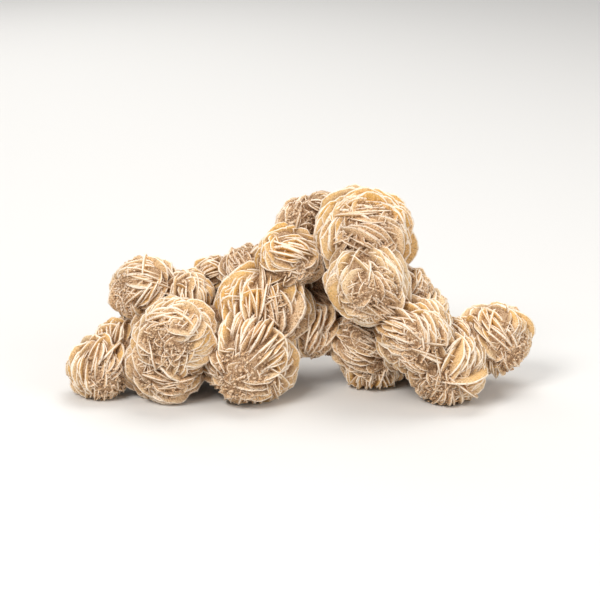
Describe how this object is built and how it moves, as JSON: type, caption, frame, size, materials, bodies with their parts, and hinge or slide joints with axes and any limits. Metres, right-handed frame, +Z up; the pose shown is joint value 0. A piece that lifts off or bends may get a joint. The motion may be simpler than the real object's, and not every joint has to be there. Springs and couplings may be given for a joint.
{
  "type": "gypsum sand rose",
  "caption": "Arched cluster of round sandy rosettes, each made of thin lens-shaped gypsum blades standing on edge.",
  "frame": {"origin": "middle of the cluster's footprint, on the ground", "axes": "+Z up, +X along the cluster towards its right end as seen from the front, front towards -Y"},
  "size_m": [0.2096, 0.0789, 0.0908],
  "materials": {
    "sandy_gypsum": "matte, sand-filled, pale at the blades' edges"
  },
  "bodies": {
    "root": {"sand_rose": "sandy_gypsum"}
  },
  "joints": []
}
